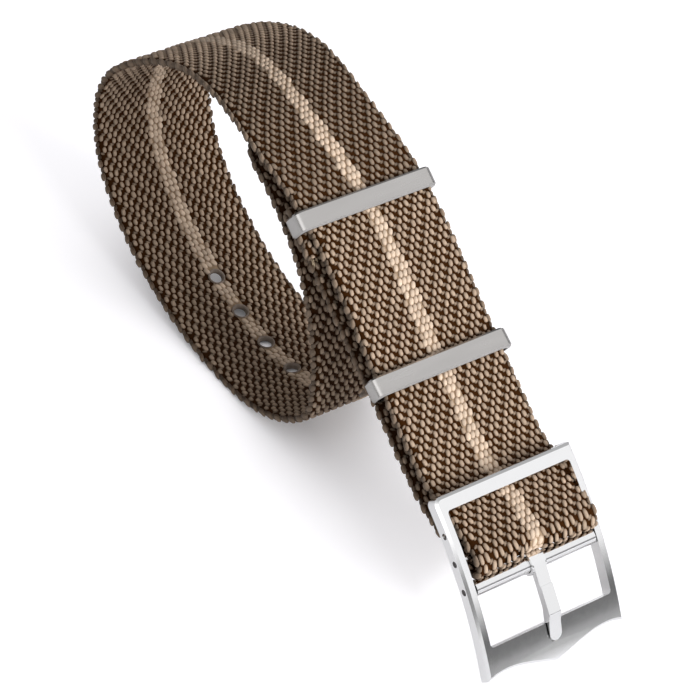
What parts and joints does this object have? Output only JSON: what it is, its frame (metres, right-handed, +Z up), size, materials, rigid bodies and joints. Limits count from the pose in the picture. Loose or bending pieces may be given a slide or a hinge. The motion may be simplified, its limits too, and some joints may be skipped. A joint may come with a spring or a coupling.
{
  "type": "pull-through watch strap",
  "caption": "Woven pull-through watch strap lying in a loop, with a bowed pin buckle on sprung bars, a fixed keeper and a sliding keeper.",
  "frame": {"origin": "centre of the bounding box at the table the strap lies on", "axes": "+X towards the buckle's front edge, +Y across the webbing to the far edge, +Z up"},
  "size_m": [0.1022, 0.0228, 0.0461],
  "materials": {
    "webbing": "ribbed weave with a beige centre stripe",
    "thread": "spun thread",
    "polished_steel": "polished",
    "satin_steel": "satin",
    "bar_steel": "turned"
  },
  "bodies": {
    "strap": {"webbing": "webbing", "flap_stitching": "thread"},
    "buckle": {"buckle_frame": "polished_steel", "strap_bar_tube": "bar_steel", "strap_bar_spring": "bar_steel", "tongue_bar_tube": "bar_steel", "tongue_bar_spring": "bar_steel"},
    "tongue": {"tongue": "polished_steel"},
    "fixed_keeper": {"keeper_fixed": "satin_steel"},
    "floating_keeper": {"keeper_floating": "satin_steel"},
    "strap_bar_pin_left": {"strap_bar_pin_left": "bar_steel"},
    "strap_bar_pin_right": {"strap_bar_pin_right": "bar_steel"},
    "tongue_bar_pin_left": {"tongue_bar_pin_left": "bar_steel"},
    "tongue_bar_pin_right": {"tongue_bar_pin_right": "bar_steel"}
  },
  "joints": [
    {"name": "buckle_swing", "type": "hinge", "parent": "strap", "child": "buckle", "pos_m": [0.03986, 0, 0.01453], "axis": [0, 1, 0], "range_deg": [0, 75]},
    {"name": "tongue_swing", "type": "hinge", "parent": "buckle", "child": "tongue", "pos_m": [0.04255, 0, 0.01177], "axis": [0, -1, 0], "range_deg": [0, 90]},
    {"name": "fixed_keeper_tilt", "type": "hinge", "parent": "strap", "child": "fixed_keeper", "pos_m": [-0.00332, 0, 0.03781], "axis": [0, 1, 0], "range_deg": [-1.5, 1.5]},
    {"name": "floating_keeper_slide", "type": "slide", "parent": "strap", "child": "floating_keeper", "axis": [-0.8387, 0, 0.5446], "range_m": [-0.0105, 0.0155]},
    {"name": "strap_bar_left_press", "type": "slide", "parent": "buckle", "child": "strap_bar_pin_left", "axis": [0, 1, 0], "range_m": [0, 0.0012], "stiffness_N_per_m": 300, "springref_m": -0.0005, "deforming": ["strap_bar_spring"]},
    {"name": "strap_bar_right_press", "type": "slide", "parent": "buckle", "child": "strap_bar_pin_right", "axis": [0, -1, 0], "range_m": [0, 0.0012], "stiffness_N_per_m": 300, "springref_m": -0.0005},
    {"name": "tongue_bar_left_press", "type": "slide", "parent": "buckle", "child": "tongue_bar_pin_left", "axis": [0, 1, 0], "range_m": [0, 0.0012], "stiffness_N_per_m": 300, "springref_m": -0.0005, "deforming": ["tongue_bar_spring"]},
    {"name": "tongue_bar_right_press", "type": "slide", "parent": "buckle", "child": "tongue_bar_pin_right", "axis": [0, -1, 0], "range_m": [0, 0.0012], "stiffness_N_per_m": 300, "springref_m": -0.0005}
  ]
}
